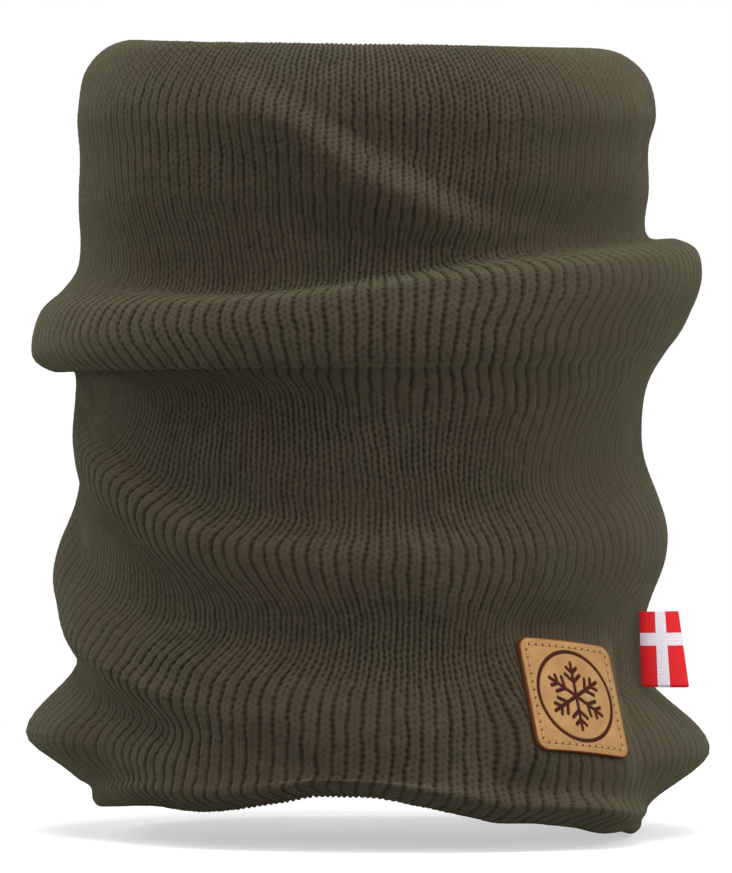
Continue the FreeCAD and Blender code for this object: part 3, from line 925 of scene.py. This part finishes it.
def make_patch_stitches():
    tubes = []
    normal = PATCH_FRAME[:, 2]
    for stitch in range(STITCHES):
        across, up = stitch_line((stitch + np.linspace(0.13, 0.87, 9)) / STITCHES)
        rise = np.sin(np.linspace(0, np.pi, 9)) ** 0.6
        path = lift_patch(across, up, PATCH_THICKNESS - 0.32 + 0.30 * rise)
        tubes.append(twisted_thread(path, np.broadcast_to(normal, path.shape), 0.2, False, 0.9))
    stitches = threads_mesh("badge_stitches", tubes, False)
    stitches.data.materials.append(thread_material("patch_thread", (0.36, 0.20, 0.085),
                                                   (0.60, 0.38, 0.19)))
    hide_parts("patch_stitches")
    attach(stitches, "gaiter")


# ------ woven tab and care label

def panel_steps(length, pitch):
    """Positions along a panel, closer together at its two ends."""
    ends = np.array([0, 0.02, 0.06, 0.12, 0.2])
    middle = np.linspace(0.35, length - 0.35, int(length / pitch))
    return np.concatenate([ends, middle, length - ends[::-1]])


def flag_colours(look):
    """Red with a pale cross, set by how far out and how far up the tab each point is."""
    up = look.attribute("up")
    sway = look.math("ADD", look.attribute("out"), look.math("MULTIPLY", up, -0.05))
    cross = look.math("MAXIMUM", look.math("COMPARE", sway, 0.475, 0.13),
                      look.math("COMPARE", up, 0.625, 0.085))
    return look.mix(cross, (0.80, 0.008, 0.013), (0.88, 0.80, 0.87))


def make_flag():
    """A ribbon folded in two: both leaves come out of the side seam, the fold is at the end."""
    hinge = np.array(JOINTS["flag_label_swing"]["pos_m"]) / MM
    up = panel_steps(FLAG_HEIGHT, 0.2)
    share = np.linspace(0, 1, 70)
    fold = np.linspace(0, np.pi, 9)[1:-1]
    rise = (up / FLAG_HEIGHT)[:, None]
    # the root, the bend and the end of its middle line: where it starts, and its lean higher up
    root, bend, ends = (hinge + np.array([*start, 0]) + rise * np.array([*lean, 0])
                        for start, lean in (((-3.3, 1.7), (-0.8, 0.0)), ((0.2, -1.0), (-1.6, 0.4)),
                                            ((9.9, -0.8), (-3.0, 4.2))))
    t = share[None, :, None]
    line = ((1 - t) ** 2 * root[:, None] + 2 * t * (1 - t) * bend[:, None] + t ** 2 * ends[:, None])
    line[..., 2] = hinge[2] + up[:, None]
    way = unit(np.gradient(line, axis=1) * np.array([1, 1, 0]))
    facing = np.stack([way[..., 1], -way[..., 0], np.zeros_like(way[..., 0])], axis=-1)
    gap = (FLAG_GAP + 0.15 * np.sin(np.pi * share))[None, :, None]
    drop = FLAG_DROP * (1 - 0.5 * rise)
    front = line + facing * gap
    back = line - facing * gap
    back[..., 2] -= drop
    tip, out, forward = line[:, -1], way[:, -1], facing[:, -1]
    turned = (tip[:, None] + FLAG_GAP * (np.sin(fold)[:, None] * out[:, None]
                                         + np.cos(fold)[:, None] * forward[:, None]))
    turned[..., 2] -= drop * (fold / np.pi)[None, :]
    middle = np.concatenate([front, turned, back[:, ::-1]], axis=1)
    steps = np.linalg.norm(np.diff(middle, axis=1), axis=2)
    run = np.concatenate([np.zeros((len(up), 1)), np.cumsum(steps, axis=1)], axis=1)
    edge = np.minimum(np.minimum(up, FLAG_HEIGHT - up)[:, None],
                      np.minimum(run, run[:, -1:] - run))
    reach = middle[..., 0] - middle[:, :1, 0]
    values = {"out": reach / reach.max(axis=1, keepdims=True),
              "up": np.broadcast_to(rise, run.shape),
              "across": run, "along": np.broadcast_to(up[:, None], run.shape)}
    tab = panel_mesh("woven_side_tab", middle, edge, FLAG_THICKNESS, values)
    tab.data.materials.append(woven_material("woven_tab", 0.42, flag_colours))
    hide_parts("flag_label")
    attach(tab, "flag_label")


def care_colours(look):
    """Plain off-white, a shade darker in a narrow band near its bottom edge."""
    band = look.math("COMPARE", look.attribute("along"), 1.6, 0.3)
    return look.mix(band, (0.74, 0.73, 0.69), (0.50, 0.49, 0.46))


def make_care_label():
    """A plain satin strip that lies on the fleece inside, sewn along one upright edge."""
    length = CARE_HIGH[2] - CARE_LOW[2]
    up = panel_steps(length, 0.5)[:, None]
    width = CARE_REACH * math.radians(CARE_SPAN)
    across = panel_steps(width, 0.5)[None, :]
    azimuth = CARE_MIDDLE - CARE_SPAN / 2 + across / width * CARE_SPAN
    ripple = (0.10 * np.sin(up / length * 5.2 + across / width * 3.1)
              + 0.05 * np.sin(across * 0.9 + up * 0.35))
    middle = ring(azimuth, CARE_REACH - 0.05 + ripple, CARE_LOW[2] + up + 0 * across)
    edge = np.minimum(np.minimum(up, length - up), np.minimum(across, width - across))
    values = {"across": across + 0 * up, "along": up + 0 * across}
    label = panel_mesh("plain_care_strip", middle, edge, 0.3, values)
    label.data.materials.append(woven_material("care_tape", 0.3, care_colours))
    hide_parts("care_label")
    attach(label, "care_label")


# ------ stage, light and camera

def make_stage():
    """A pale floor that fades out away from the object."""
    side = 3.0
    mesh = bpy.data.meshes.new("floor")
    mesh.from_pydata([(-side, -side, 0), (side, -side, 0), (side, side, 0), (-side, side, 0)], [],
                     [(0, 1, 2, 3)])
    floor = placed("floor", mesh)
    floor.location.z = -0.0006
    look = new_look("pale_floor")
    look.surface({"Base Color": (0.9, 0.9, 0.9), "Roughness": 0.9,
                  "Emission Color": (1, 1, 1), "Emission Strength": 0.45})
    distance = look.add("VectorMath", {0: look.place()}, "Value", operation="LENGTH")
    fade = look.add("MapRange", {"Value": distance, "From Min": 0.16, "From Max": 0.55},
                    interpolation_type="SMOOTHSTEP")
    pale = look.mix_shaders(fade, look.nodes["Principled BSDF"].outputs["BSDF"],
                            look.add("BsdfTransparent"))
    # the floor lights the object from below no more than a grey sweep would
    dim = look.add("BsdfDiffuse", {"Color": (0.12, 0.12, 0.12)})
    seen = look.mix_shaders(look.add("LightPath", output="Is Camera Ray"), dim, pale)
    look.fill(look.nodes["Material Output"], {"Surface": seen})
    mesh.materials.append(look.owner)


def area_light(name, position, size, power):
    """A light that points at the middle of the object."""
    light = bpy.data.lights.new(name, "AREA")
    light.shape = "RECTANGLE"
    light.size, light.size_y = size
    light.energy = power
    thing = placed(name, light)
    thing.location = position
    aim = Vector((0, 0, 0.12)) - Vector(position)
    thing.rotation_euler = aim.to_track_quat("-Z", "Y").to_euler()


def make_lights():
    """Soft lights, and a surround that looks white but lights the object less."""
    world = bpy.data.worlds.new("studio")
    look = Look(world)
    lit = look.nodes["Background"]
    look.fill(lit, {"Color": (1, 1, 1), "Strength": 0.72})
    seen = look.add("Background", {"Color": (1, 1, 1), "Strength": 1.0})
    light = look.mix_shaders(look.add("LightPath", output="Is Camera Ray"), lit.outputs[0], seen)
    look.fill(look.nodes["World Output"], {"Surface": light})
    bpy.context.scene.world = world
    bpy.context.scene.view_settings.view_transform = "Standard"
    area_light("overhead", (0.0, -0.55, 1.35), (0.9, 0.6), 8.1)
    area_light("left", (-1.5, 0.35, 0.5), (0.8, 1.2), 4.8)
    area_light("right", (1.45, -0.35, 0.6), (0.8, 1.2), 6.2)
    area_light("front_right", (1.3, -1.6, 0.5), (0.9, 1.2), 4.6)
    area_light("low_front", (0.0, -2.0, 0.12), (1.4, 0.2), 12.0)


def make_camera():
    view_height = 0.2619
    distance = 2.4
    elevation = math.radians(1.2)
    camera = placed("camera", bpy.data.cameras.new("camera"))
    camera.data.sensor_width = 36
    camera.data.lens = 36 * distance / view_height
    camera.data.clip_end = 20
    target = Vector((0.0012, 0, 0.1184))
    camera.location = target + Vector((0, -math.cos(elevation), math.sin(elevation))) * distance
    camera.rotation_euler = (target - camera.location).to_track_quat("-Z", "Y").to_euler()
    bpy.context.scene.camera = camera


make_outer_knit()
make_lining()
make_seams()
make_patch()
make_patch_stitches()
make_flag()
make_care_label()
make_stage()
make_lights()
make_camera()
